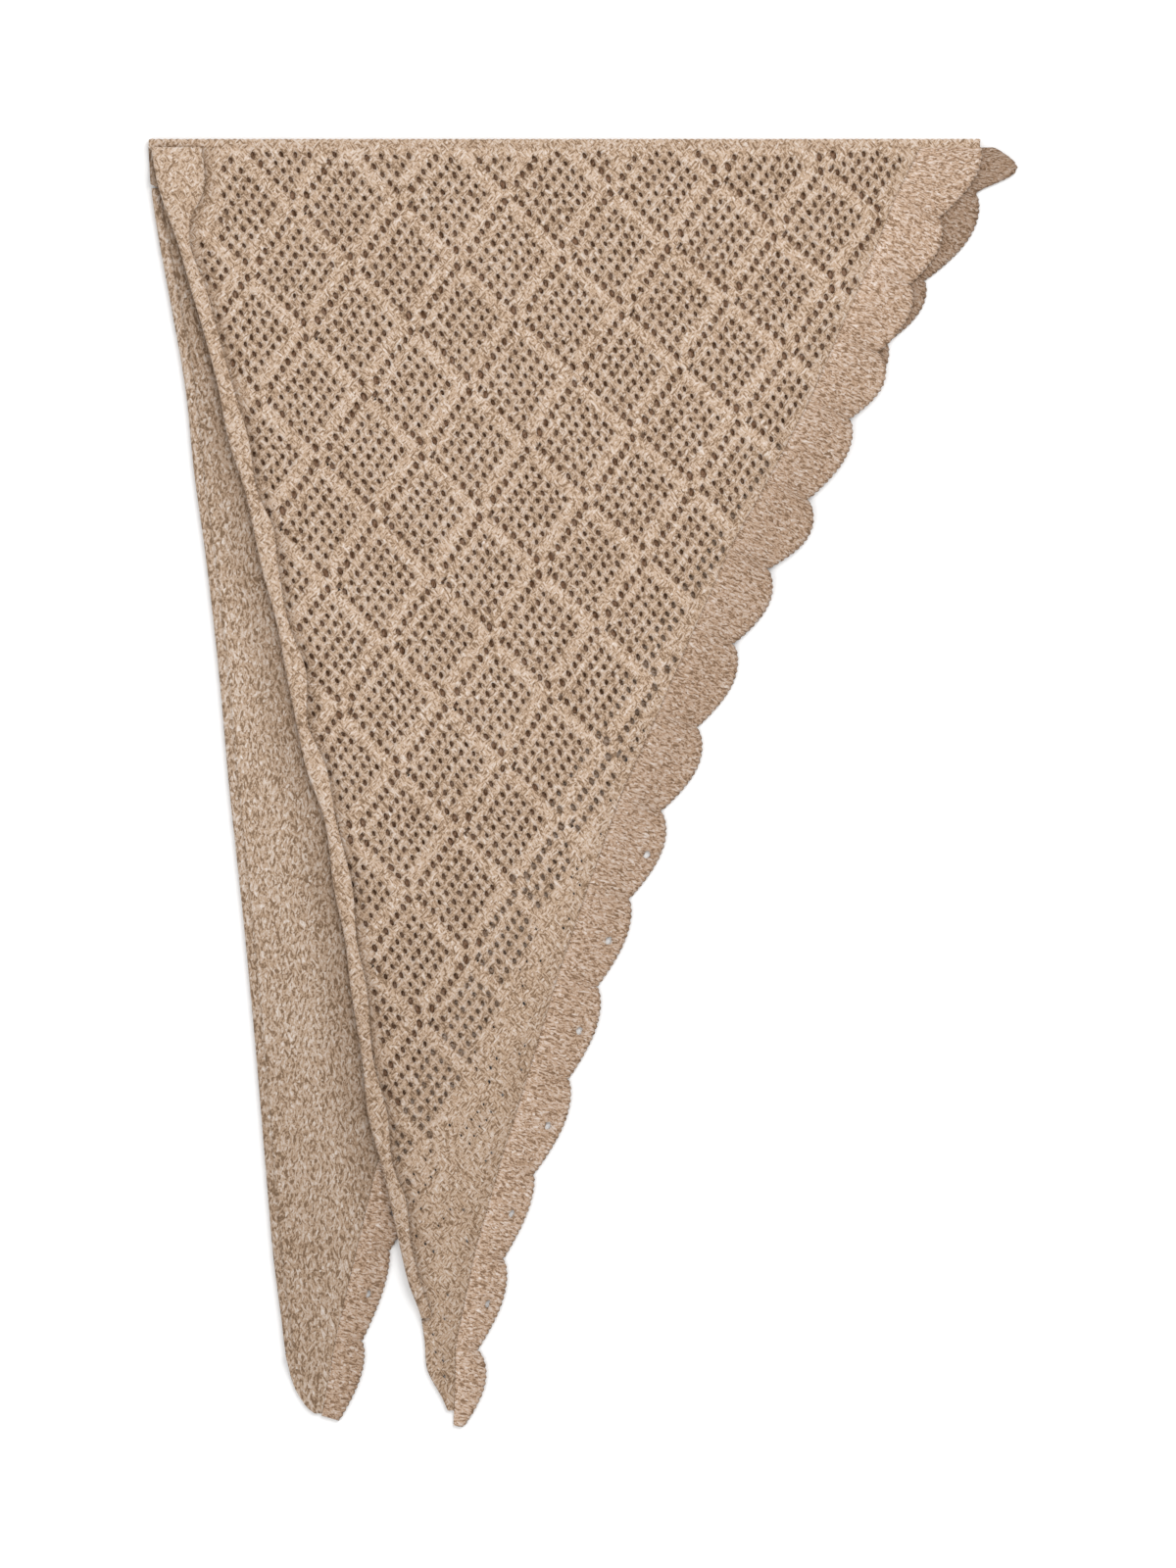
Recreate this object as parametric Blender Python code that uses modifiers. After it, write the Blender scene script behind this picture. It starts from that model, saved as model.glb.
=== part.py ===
"""Pointelle scarf: a triangular knitted scarf, folded in half along its short axis and laid flat.

The fold is the straight upper edge. The lower layer lies wrong side up and shows along the left, at
its tail and at the upper right. The upper layer lies right side up, with its long edge rolled over
onto its face. Sizes are in millimetres, and place() turns them into metres. Across is measured to the
right from the left end of the fold, down from the fold towards the tails, and height from the surface.
"""

import math

import bmesh
import bpy
import numpy as np
from mathutils import Matrix, Vector

# Cloth
WALL = 2.5  # thickness of the knitted cloth
GAP = 0.3  # clearance at seams and between layers
LAYER = WALL + GAP  # one layer's rise

# Overall size
TOTAL_ACROSS = 602.2
TOTAL_DOWN = 893.5

# Fold at the top
FOLD_ACROSS = 577.0  # length of the folded edge
FOLD_SEAM = 6.0  # how far below the fold the two panels start
FOLD_BEND = LAYER / 2  # radius of the turned cloth's middle surface

# Lower layer's long straight edge, which curls under
BACK_EDGE = np.array([
    # down, across
    (0, 0), (41, 3), (67, 7), (116, 16), (174, 26), (232, 32), (290, 40), (369, 49), (447, 56),
    (541, 66), (636, 75), (719, 82), (785, 88), (815, 92), (849, 97), (872, 105), (883, 114), (889, 124),
], float)
FLAT_ROWS = 14.0  # as far down as this both layers are level
BACK_ROLL_FROM = 34.0
BACK_ROLL_TO = 842.0
BACK_LIP = 9.0  # width of the strip that lies underneath
BACK_LIFT_END = 24.0  # where the lower layer is down on the surface again
FRONT_LIFT = LAYER + 0.7  # the upper layer passes over the curled edge more loosely
LIFT_SPREAD = 5.0
LIFT_COLUMNS = (BACK_LIP + 2, (BACK_LIP + BACK_LIFT_END) / 2, BACK_LIFT_END)
BACK_BEND = LAYER / 2

# Upper layer's long straight edge, which rolls over onto its face. The strip is widest at the fold.
FRONT_ROLL = np.array([
    # down, across, width
    (0, 1, 36), (39, 9, 29), (56, 15, 15), (73, 21, 8), (101, 29, 10), (135, 39, 9.5), (169, 48, 10),
    (209, 56, 14), (247, 68, 8.5), (270, 73, 14), (294, 78, 12), (339, 90, 8.5), (366, 95, 14),
    (410, 104, 8), (434, 109, 14), (471, 122, 8), (520, 129, 13), (558, 137, 8), (585, 140, 11),
    (643, 149, 8), (673, 152, 13.5), (716, 163, 8), (733, 167, 11), (765, 174, 8), (794, 181, 8),
    (816, 189, 7.5), (834, 192, 7), (854, 194, 7), (875, 205, 7), (890, 211, 7),
], float)
FRONT_ROLL_FROM = 8.0
FRONT_ROLL_TO = 818.0
FRONT_BEND = 2.2
ROLL_SEAM = 7.0  # from the rolled edge's outline to the panel's own edge
FRONT_PANEL_END = 882.0
BACK_PANEL_END = 884.0
TAIL_ROWS = 4  # rows of a panel past its rolled edge

# Knitted-on borders: a row for each scallop, at the valley where it starts, with its bulge past the
# line through the valleys and the border's width there. The last row is the tail's tip.
FRONT_SCALLOPS = np.array([
    # across, down, bulge, width
    (577, 4, 8, 36), (548, 55, 8.5, 33), (528, 101, 8.5, 31), (506, 148, 12, 30), (486, 194, 10, 30),
    (457, 250, 13, 30), (429, 298, 11, 29), (405, 350, 11, 28), (380, 408, 11.5, 28),
    (355, 466, 10.5, 29), (333, 527, 7.5, 29), (311, 588, 8, 28), (291, 652, 8, 27),
    (267, 718, 5, 24), (246, 777, 7.5, 20), (228, 840, 9.5, 15), (218, 893.5, 0, 6),
], float)
BACK_SCALLOPS = np.array([
    # across, down, bulge, width
    (579, 1, 25.5, 36), (574, 38, 11.5, 34), (538, 98, 8.5, 32), (512, 141, 9, 30),
    (483, 189, 10, 30), (449, 241, 10, 30), (415, 296, 10, 30), (381, 350, 10, 30),
    (348, 403, 10, 30), (316, 458, 9, 30), (286, 511, 9, 30), (259, 566, 8, 29), (234, 621, 8, 28),
    (206, 672, 7, 27), (182, 721, 6, 25), (167, 771, 4, 22), (148, 834, 6, 18), (132, 889, 0, 12),
], float)
SCALLOP_BLUNTNESS = 0.65  # power of the sine that rounds a scallop off
CORNER_BLUNTNESS = 1.2  # the corner scallop stands far out and is pointed
CORNER_BULGE = 20.0
SCALLOP_LEAN = 0.8  # a scallop is fuller towards the fold by this much
SCALLOP_STEPS = 6
FRONT_BORDER_LANES = 4
BACK_BORDER_LANES = 1

# The upper layer steps down to the surface past the lower layer's rim
DROP_MARGIN = 23.0
DROP_LENGTH = 13.0

# Diamond lattice: eyelet lines cross at knots, and the four eyelets round a knot are the largest
KNOT_ACROSS = 219.0
KNOT_DOWN = 83.0
DIAMOND_WIDE = 73.0
DIAMOND_TALL = 87.0
COLUMN_LEAN = 7.8  # a column of diamonds moves right by this much with each diamond down
ROW_RISE = 4.0  # a row of diamonds rises by this much with each diamond to the right
ROW_CURVE = 0.9  # and curves up past the starting knot
ROW_FAN = 1.6  # more so in the next rows below, as far down as FAN_ROWS
FAN_ROWS = 2
STITCHES = 16  # eyelet sites in a diamond's width, and in its height
EYELET_WIDE = 4.8
EYELET_TALL = 6.4
EYELET_TILT = math.radians(12)
EYELET_SIDES = 6
SCALLOP_EYELET = 6.4
SCALLOP_EYELET_INSET = 9.5
FIRST_EYELET_SCALLOP = 5  # the scallops above it show no eyelet
MOST_EYELETS = 300
EDGE_CLEARANCE = 9.0  # from an eyelet's middle to the panel's edges

YARN = (0.47, 0.36, 0.265)
YARN_WRONG_SIDE = (0.42, 0.32, 0.235)
YARN_RIM = (0.46, 0.33, 0.235)


def place(across, down, height):
    """A point of the laid scarf in metres, with the middle of its footprint at the origin."""
    return Vector((across - TOTAL_ACROSS / 2, TOTAL_DOWN / 2 - down, height)) * 0.001


def smooth(xs, ys, x):
    """The value at x of a smooth curve through the points (xs, ys)."""
    slopes = np.gradient(ys, xs)
    k = int(np.clip(np.searchsorted(xs, x) - 1, 0, len(xs) - 2))
    step = xs[k + 1] - xs[k]
    t = min(max((x - xs[k]) / step, 0), 1)
    start = ys[k] * (1 + 2 * t) * (1 - t) ** 2 + slopes[k] * step * t * (1 - t) ** 2
    end = ys[k + 1] * (3 - 2 * t) * t**2 - slopes[k + 1] * step * t**2 * (1 - t)
    return float(start + end)


def ease(low, high, x):
    """0 below low, 1 above high, and a smooth rise between."""
    t = min(max((x - low) / (high - low), 0), 1)
    return t * t * (3 - 2 * t)


def back_outline(down):
    return smooth(BACK_EDGE[:, 0], BACK_EDGE[:, 1], down)


def front_outline(down):
    return smooth(FRONT_ROLL[:, 0], FRONT_ROLL[:, 1], down)


def roll_width(down):
    return smooth(FRONT_ROLL[:, 0], FRONT_ROLL[:, 2], down)


def scallop_edge(scallops, at):
    """At a scallop number: the valley line's point, the outward direction there and the bulge."""
    k = min(int(at), len(scallops) - 2)
    t = at - k
    start, end = scallops[k, :2], scallops[k + 1, :2]
    run = (end - start) / np.linalg.norm(end - start)
    outward = np.array((run[1], -run[0]))
    power = CORNER_BLUNTNESS if scallops[k, 2] > CORNER_BULGE else SCALLOP_BLUNTNESS
    bulge = scallops[k, 2] * max(math.sin(math.pi * t), 0) ** power
    return start + (end - start) * t, outward, bulge * (1 + SCALLOP_LEAN * (0.5 - t))


def pick_up_line(scallops):
    """The line where the border is picked up from the panel, with a point for each scallop row."""
    line = []
    for k, (across, down, _, width) in enumerate(scallops):
        before = scallop_edge(scallops, max(k - 0.5, 0))[1]
        after = scallop_edge(scallops, min(k + 0.5, len(scallops) - 1.5))[1]
        outward = (before + after) / np.linalg.norm(before + after)
        line.append(np.array((across, down)) - outward * width)
    t = (FOLD_SEAM + GAP - line[0][1]) / (line[1][1] - line[0][1])
    line[0] = line[0] + (line[1] - line[0]) * t
    return np.array(line)


def line_across(line, down):
    """The across of a line of points at a distance down."""
    return float(np.interp(down, line[:, 1], line[:, 0]))


FRONT_PICK_UP = pick_up_line(FRONT_SCALLOPS)
BACK_PICK_UP = pick_up_line(BACK_SCALLOPS)


def panel_rows(pick_up, roll_from, roll_to, last):
    """Distances down for a panel's rows: its pick-up points, and where its rolled edge starts and ends."""
    own = {FOLD_SEAM + GAP, FLAT_ROWS - LIFT_SPREAD, roll_from - 2 * GAP, roll_from}
    own |= {BACK_ROLL_FROM, roll_to, roll_to + 2 * GAP}
    tail = set(np.linspace(roll_to, last, TAIL_ROWS + 1)[1:])
    rows = own | tail | {down for _, down in pick_up}
    return sorted(down for down in rows if FOLD_SEAM < down <= last)


FRONT_ROWS = panel_rows(FRONT_PICK_UP, FRONT_ROLL_FROM, FRONT_ROLL_TO, FRONT_PANEL_END)
BACK_ROWS = panel_rows(BACK_PICK_UP, BACK_ROLL_FROM, BACK_ROLL_TO, BACK_PANEL_END)


def left_line(rows, outline, roll_from, roll_to):
    """A panel's own left edge: inside the rolled edge, or on the outline where there is none."""
    inset = [ROLL_SEAM + GAP if roll_from <= down <= roll_to else 0 for down in rows]
    return np.array([(outline(down) + e, down) for down, e in zip(rows, inset)])


FRONT_LEFT = left_line(FRONT_ROWS, front_outline, FRONT_ROLL_FROM, FRONT_ROLL_TO)
BACK_LEFT = left_line(BACK_ROWS, back_outline, BACK_ROLL_FROM, BACK_ROLL_TO)


def drop_start(down):
    """Where the upper layer leaves the lower one and starts down to the surface."""
    return float(np.interp(down, BACK_SCALLOPS[:, 1], BACK_SCALLOPS[:, 0])) + DROP_MARGIN


def lift(across, down, spread):
    """How much the lower layer's curled edge lifts the cloth over it, by 0 to 1."""
    start = ease(FLAT_ROWS - spread, BACK_ROLL_FROM - 2 - spread, down)
    end = 1 - ease(BACK_ROLL_TO + 2 + spread, BACK_ROLL_TO + 20 + spread, down)
    from_edge = across - back_outline(down)
    return start * end * (1 - ease(BACK_LIP + 2 + spread, BACK_LIFT_END + spread, from_edge))


def back_floor(across, down):
    """Height of the lower layer's underside."""
    return LAYER * lift(across, down, 0)


def front_floor(across, down):
    """Height of the upper layer's underside."""
    start = drop_start(down)
    on_back = 1 - ease(start, start + DROP_LENGTH, across)
    return (LAYER + FRONT_LIFT * lift(across, down, LIFT_SPREAD)) * on_back


def stations(low, high, marks):
    """Columns from low to high that pass through the marks where there is room for them."""
    columns = [low, *marks, high]
    step = min(2.0, 0.8 * (high - low) / (len(columns) - 1))
    for i in range(1, len(columns)):
        columns[i] = max(columns[i], columns[i - 1] + step)
    columns[-1] = high
    for i in range(len(columns) - 2, 0, -1):
        columns[i] = min(columns[i], columns[i + 1] - step)
    return columns


def sheet(name, rows, columns, point):
    """An open sheet of quads, with each point placed by its row and column."""
    bm = bmesh.new()
    bmesh.ops.create_grid(bm, x_segments=columns - 1, y_segments=rows - 1, size=1)
    for vert in bm.verts:
        column = round((vert.co.x + 1) / 2 * (columns - 1))
        row = round((1 - vert.co.y) / 2 * (rows - 1))
        vert.co = point(row, column)
    mesh = bpy.data.meshes.new(name)
    bm.to_mesh(mesh)
    bm.free()
    return mesh


def material(name, colour, roughness):
    """A Principled material for one piece of cloth."""
    made = bpy.data.materials.new(name)
    made.use_nodes = True
    shader = made.node_tree.nodes["Principled BSDF"]
    shader.inputs["Base Color"].default_value = (*colour, 1)
    shader.inputs["Roughness"].default_value = roughness
    shader.inputs["Metallic"].default_value = 0
    return made


def cloth(mesh, collection, colour, offset):
    """An object whose sheet is thickened into the cloth's wall."""
    piece = bpy.data.objects.new(mesh.name, mesh)
    collection.objects.link(piece)
    mesh.materials.append(material(mesh.name + "_knit", colour, 0.9))
    wall = piece.modifiers.new("Wall", "SOLIDIFY")
    wall.thickness = WALL * 0.001
    wall.offset = offset
    wall.use_even_offset = True
    return piece


def panel(name, left, pick_up, floor, marks):
    """A panel's underside, between its left edge and its pick-up line."""
    rows = []
    for low, down in left:
        columns = stations(low, line_across(pick_up, down) - GAP, marks(down))
        rows.append([place(across, down, floor(across, down)) for across in columns])
    return sheet(name, len(rows), len(rows[0]), lambda row, column: rows[row][column])


def border(name, scallops, pick_up, lanes, floor):
    """A border's underside, from its pick-up line out to its scalloped rim."""
    rows = []
    for step in range((len(scallops) - 1) * SCALLOP_STEPS + 1):
        at = step / SCALLOP_STEPS
        k = min(int(at), len(scallops) - 2)
        point, outward, bulge = scallop_edge(scallops, at)
        inner = pick_up[k] + (pick_up[k + 1] - pick_up[k]) * (at - k)
        outer = point + outward * bulge
        outer[1] = max(outer[1], FOLD_SEAM + GAP)
        lane_points = [inner + (outer - inner) * lane / lanes for lane in range(lanes + 1)]
        rows.append([place(across, down, floor(across, down)) for across, down in lane_points])
    return sheet(name, len(rows), len(rows[0]), lambda row, column: rows[row][column])


def turn(bend, steps):
    """Points of a half turn about the origin, from below, by the left, to above."""
    angles = [math.radians(-90 - 180 * i / steps) for i in range(steps + 1)]
    return [(bend * math.cos(angle), bend * math.sin(angle)) for angle in angles]


def front_roll_section(down):
    """The rolled edge's middle surface, from the panel's edge round to the strip's free edge."""
    reach = FRONT_BEND + WALL / 2
    low = WALL / 2
    outline = front_outline(down)
    section = [(line_across(FRONT_LEFT, down) - GAP - outline, low)]
    section += [(reach + x, low + FRONT_BEND + z) for x, z in turn(FRONT_BEND, 6)]
    top = low + 2 * FRONT_BEND
    free = max(roll_width(down), reach + 3)
    rest = LAYER + low + GAP
    section += [((reach + free) / 2, (top + rest) / 2 + GAP), (free, rest)]
    return [place(outline + e, down, front_floor(outline + e, down) + h) for e, h in section]


def back_roll_section(down):
    """The curled edge's middle surface, from the strip underneath round to the panel's edge."""
    reach = BACK_BEND + WALL / 2
    low = WALL / 2
    section = [(BACK_LIP, low)]
    section += [(reach + x, low + BACK_BEND + z) for x, z in turn(BACK_BEND, 6)]
    outline = back_outline(down)
    section += [(line_across(BACK_LEFT, down) - GAP - outline, low + 2 * BACK_BEND)]
    return [place(outline + e, down, h) for e, h in section]


def fold_section(across):
    """The turned cloth of the fold, from the lower panel round to the upper one."""
    reach = FOLD_BEND + WALL / 2
    low = WALL / 2
    section = [(FOLD_SEAM, low)]
    section += [(reach + x, low + FOLD_BEND + z) for x, z in turn(FOLD_BEND, 6)]
    section += [(FOLD_SEAM, low + 2 * FOLD_BEND)]
    return [place(across, down, height) for down, height in section]


def roll_rows(panel_downs, roll_from, roll_to, apart):
    """Distances down for a rolled edge's sections: the panel's own rows, and more between them."""
    ends = [roll_from + GAP, roll_to - GAP]
    shared = [down for down in panel_downs if roll_from + 2 < down < roll_to - 2]
    nodes = sorted(ends + shared)
    rows = []
    for low, high in zip(nodes, nodes[1:]):
        rows += list(np.linspace(low, high, math.ceil((high - low) / apart) + 1)[:-1])
    return rows + [nodes[-1]]


def swept(name, sections):
    """A sheet through a list of sections."""
    return sheet(name, len(sections), len(sections[0]), lambda row, column: sections[row][column])


def knots():
    """Where the lattice's eyelet lines cross, as across and down."""
    for half_right in range(-12, 13):
        for half_down in range(-3, 20):
            if (half_right + half_down) % 2:
                continue
            right, below = half_right / 2, half_down / 2
            across = KNOT_ACROSS + DIAMOND_WIDE * right + COLUMN_LEAN * below
            fan = max(right, 0) * (ROW_CURVE * right + ROW_FAN * min(below, FAN_ROWS))
            yield across, KNOT_DOWN + DIAMOND_TALL * below - ROW_RISE * right - fan


def is_flat(floor, across, down):
    """Whether the cloth round a point is level, and so can take an eyelet."""
    reach = EYELET_TALL
    around = [floor(across + dx, down + dy) for dx in (-reach, reach) for dy in (-reach, reach)]
    return max(around) - min(around) < 0.02


def lattice_eyelets(left, pick_up, floor, corners):
    """The large eyelets round each knot of a panel."""
    low, high = left[0, 1] + EDGE_CLEARANCE, left[-1, 1] - EDGE_CLEARANCE
    beside = DIAMOND_WIDE / STITCHES
    above = DIAMOND_TALL / STITCHES
    for knot_across, knot_down in knots():
        for side, end in corners:
            across = knot_across + side * beside
            down = knot_down + end * above
            from_left = across - line_across(left, down)
            from_right = line_across(pick_up, down) - across
            inside = low < down < high and min(from_left, from_right) > EDGE_CLEARANCE
            if inside and is_flat(floor, across, down):
                yield across, down


def scallop_eyelets(scallops, floor):
    """One eyelet inside the rim of each scallop."""
    for k in range(FIRST_EYELET_SCALLOP, len(scallops) - 2):
        point, outward, bulge = scallop_edge(scallops, k + 0.5)
        across, down = point + outward * (bulge - SCALLOP_EYELET_INSET)
        if is_flat(floor, across, down):
            yield across, down


def eyelet_cutter(name, spots, wide, tall, collection):
    """One mesh of upright prisms that cuts a set of eyelets."""
    bm = bmesh.new()
    height = 8 * LAYER * 0.001
    for across, down in spots:
        shape = (
            Matrix.Translation(place(across, down, 2 * LAYER))
            @ Matrix.Rotation(EYELET_TILT, 4, "Z")
            @ Matrix.Diagonal((wide / tall, 1, 1, 1))
            @ Matrix.Rotation(math.radians(30), 4, "Z")
        )
        radius = tall / 2 * 0.001
        bmesh.ops.create_cone(bm, cap_ends=True, segments=EYELET_SIDES, radius1=radius, radius2=radius,
                              depth=height, matrix=shape)
    mesh = bpy.data.meshes.new(name)
    bm.to_mesh(mesh)
    bm.free()
    cutter = bpy.data.objects.new(name, mesh)
    cutter.hide_render = True
    cutter.display_type = "WIRE"
    collection.objects.link(cutter)
    return cutter


def cut(piece, cutter):
    """Cuts the eyelets out of a piece."""
    eyelets = piece.modifiers.new("Eyelets", "BOOLEAN")
    eyelets.operation = "DIFFERENCE"
    eyelets.solver = "EXACT"
    eyelets.object = cutter


def front_marks(down):
    """Columns where the upper panel bends, and two between them."""
    start = drop_start(down)
    first = min(start, line_across(FRONT_PICK_UP, down) - DROP_LENGTH)
    lifted = [back_outline(down) + LIFT_SPREAD + e for e in LIFT_COLUMNS]
    between = [lifted[-1] + (first - lifted[-1]) * t for t in (0.35, 0.7)]
    return [*lifted, *between, start, start + DROP_LENGTH / 2, start + DROP_LENGTH]


def back_marks(down):
    """Columns where the lower panel bends, and two between there and the pick-up line."""
    lifted = [back_outline(down) + e for e in LIFT_COLUMNS]
    far = line_across(BACK_PICK_UP, down)
    return [*lifted, *(lifted[-1] + (far - lifted[-1]) * t for t in (0.35, 0.7))]


for old in list(bpy.data.objects):
    bpy.data.objects.remove(old)

scarf = bpy.data.collections.new("Pointelle scarf")
cutters = bpy.data.collections.new("Cutters")
bpy.context.scene.collection.children.link(scarf)
bpy.context.scene.collection.children.link(cutters)

# Lower layer
back_panel = cloth(
    panel("back_panel", BACK_LEFT, BACK_PICK_UP, back_floor, back_marks), scarf, YARN_WRONG_SIDE, 1)
back_border = cloth(
    border("back_border", BACK_SCALLOPS, BACK_PICK_UP, BACK_BORDER_LANES, lambda across, down: 0),
    scarf, YARN_RIM, 1)
back_roll_downs = roll_rows(BACK_ROWS, BACK_ROLL_FROM, BACK_ROLL_TO, 45)
cloth(
    swept("back_edge_roll", [back_roll_section(d) for d in back_roll_downs]), scarf, YARN_WRONG_SIDE, 0)

# Fold
fold_stations = np.linspace(FOLD_ACROSS, 1, 13)
cloth(swept("top_fold", [fold_section(a) for a in fold_stations]), scarf, YARN, 0)

# Upper layer
front_panel = cloth(
    panel("front_panel", FRONT_LEFT, FRONT_PICK_UP, front_floor, front_marks), scarf, YARN, 1)
front_border = cloth(
    border("front_border", FRONT_SCALLOPS, FRONT_PICK_UP, FRONT_BORDER_LANES, front_floor),
    scarf, YARN_RIM, 1)
front_roll_downs = roll_rows(FRONT_ROWS, FRONT_ROLL_FROM, FRONT_ROLL_TO, 20)
cloth(
    swept("front_edge_roll", [front_roll_section(d) for d in front_roll_downs]), scarf, YARN, 0)

# Eyelets: all four round each knot of the upper panel, the scallops' own, and one for each knot of the
# lower panel under it. The lower panel's strip that shows has closed up, so nothing is cut there.
FOUR = [(-1, -1), (1, -1), (-1, 1), (1, 1)]
front_holes = list(lattice_eyelets(FRONT_LEFT, FRONT_PICK_UP, front_floor, FOUR))
front_rim_holes = list(scallop_eyelets(FRONT_SCALLOPS, front_floor))
back_rim_holes = list(scallop_eyelets(BACK_SCALLOPS, lambda across, down: 0))
left_over = MOST_EYELETS - len(front_holes) - len(front_rim_holes) - len(back_rim_holes)
back_holes = [
    (across, down)
    for across, down in lattice_eyelets(BACK_LEFT, BACK_PICK_UP, back_floor, FOUR[:1])
    if across > front_outline(down) + EDGE_CLEARANCE and down < FRONT_ROLL_TO
][:left_over]
for piece, spots, wide, tall in (
    (front_panel, front_holes, EYELET_WIDE, EYELET_TALL),
    (front_border, front_rim_holes, SCALLOP_EYELET, SCALLOP_EYELET),
    (back_border, back_rim_holes, SCALLOP_EYELET, SCALLOP_EYELET),
    (back_panel, back_holes, EYELET_WIDE, EYELET_TALL),
):
    cut(piece, eyelet_cutter(piece.name + "_eyelets", spots, wide, tall, cutters))
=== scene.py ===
"""Pointelle scarf, folded in half and laid flat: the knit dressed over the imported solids.

Sizes are in millimetres until place() turns them into metres. Across runs to the right from the left
end of the fold, down from the fold towards the tails, and height from the surface it lies on.
"""

import math

import bmesh
import bpy
import numpy as np
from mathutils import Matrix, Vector


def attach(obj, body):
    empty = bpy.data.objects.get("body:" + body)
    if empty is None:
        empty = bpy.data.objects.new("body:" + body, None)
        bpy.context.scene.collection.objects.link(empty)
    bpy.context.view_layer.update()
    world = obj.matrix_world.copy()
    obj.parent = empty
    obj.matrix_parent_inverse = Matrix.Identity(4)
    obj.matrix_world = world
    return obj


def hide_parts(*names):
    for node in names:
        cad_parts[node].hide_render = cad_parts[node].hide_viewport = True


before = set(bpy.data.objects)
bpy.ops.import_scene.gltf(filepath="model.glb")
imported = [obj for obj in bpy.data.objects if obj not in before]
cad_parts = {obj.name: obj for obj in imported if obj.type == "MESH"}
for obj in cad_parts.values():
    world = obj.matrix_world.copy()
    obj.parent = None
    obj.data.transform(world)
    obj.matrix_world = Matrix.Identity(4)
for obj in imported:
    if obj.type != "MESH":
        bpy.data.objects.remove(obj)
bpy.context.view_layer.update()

# Camera: straight above the laid scarf, as the photograph was taken, and far enough away that the upper
# layer hardly spreads past the lower one.
CAMERA_HEIGHT = 5.0
CAMERA_ASIDE = (0.0042, -0.0007)
SENSOR = 36.0
VIEW_TALL = 1.088  # metres of the surface that the photo's height covers
camera = bpy.data.objects.new("camera", bpy.data.cameras.new("camera"))
bpy.context.scene.collection.objects.link(camera)
bpy.context.scene.camera = camera
camera.location = (*CAMERA_ASIDE, CAMERA_HEIGHT)
camera.data.sensor_fit = "VERTICAL"
camera.data.sensor_height = SENSOR
camera.data.lens = SENSOR * CAMERA_HEIGHT / VIEW_TALL
camera.data.clip_end = 20

# Cloth: one knitted sheet of beige and cream marl yarn, about 2.5 mm thick. The lower layer lies wrong
# side up and the upper one right side up on it, so every height is counted from the surface.
WALL = 2.5
GAP = 0.3
LAYER = WALL + GAP
TOTAL_ACROSS = 602.2
TOTAL_DOWN = 893.5


def place(across, down, height):
    """A point of the laid scarf in metres, with the middle of its footprint at the origin."""
    return Vector((across - TOTAL_ACROSS / 2, TOTAL_DOWN / 2 - down, height)) * 0.001


def smooth(xs, ys, x):
    """The value at x of a smooth curve through the points (xs, ys)."""
    slopes = np.gradient(ys, xs)
    k = int(np.clip(np.searchsorted(xs, x) - 1, 0, len(xs) - 2))
    step = xs[k + 1] - xs[k]
    t = min(max((x - xs[k]) / step, 0), 1)
    start = ys[k] * (1 + 2 * t) * (1 - t) ** 2 + slopes[k] * step * t * (1 - t) ** 2
    end = ys[k + 1] * (3 - 2 * t) * t**2 - slopes[k + 1] * step * t**2 * (1 - t)
    return float(start + end)


def ease(low, high, x):
    """0 below low, 1 above high, and a smooth rise between."""
    t = min(max((x - low) / (high - low), 0), 1)
    return t * t * (3 - 2 * t)


def waves(across, down):
    """Soft unevenness of hand-laid knitting, from -1 to 1."""
    slow = math.sin(across / 31 + 1.3 * math.sin(down / 47)) * math.sin(down / 38 + 0.9)
    fast = math.sin(across / 12.7 + down / 19 + 2.1) * math.sin(down / 14.3 - across / 41)
    return 0.6 * slow + 0.4 * fast


# Yarn: plied wool in cream and brown strands. The colour runs in short strokes along the stitches, and
# a bump follows them, so light catches each stroke.
class Wire:
    """A node's output, on which arithmetic adds Math nodes."""

    def __init__(self, tree, socket):
        self.tree = tree
        self.socket = socket

    def math(self, operation, *others):
        made = self.tree.nodes.new("ShaderNodeMath")
        made.operation = operation
        for slot, value in zip(made.inputs, (self, *others)):
            if isinstance(value, Wire):
                self.tree.links.new(value.socket, slot)
            else:
                slot.default_value = value
        return Wire(self.tree, made.outputs[0])

    def node(self, kind, output, settings, sockets):
        """Another node of this tree, with its settings set first and then its sockets."""
        made = self.tree.nodes.new(kind)
        for name, value in settings.items():
            setattr(made, name, value)
        for name, value in sockets.items():
            if isinstance(value, Wire):
                self.tree.links.new(value.socket, made.inputs[name])
            else:
                made.inputs[name].default_value = value
        return Wire(self.tree, made.outputs[output])

    def __add__(self, other):
        return self.math("ADD", other)

    def __radd__(self, other):
        return self.math("ADD", other)

    def __sub__(self, other):
        return self.math("SUBTRACT", other)

    def __rsub__(self, other):
        return (self * -1) + other

    def __mul__(self, other):
        return self.math("MULTIPLY", other)

    def __rmul__(self, other):
        return self.math("MULTIPLY", other)


LIGHT_STRAND = (0.66, 0.52, 0.395)
MID_STRAND = (0.425, 0.298, 0.203)
DARK_STRAND = (0.2, 0.127, 0.076)
ROSY_TINT = (0.06, -0.04, -0.07)
PATCHES = 230.0  # in a metre: where the strokes lean the other way
FUZZ = 900.0
SLOW_TONE = 14.0
STROKE_DEPTH = 0.0011  # metres


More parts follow.
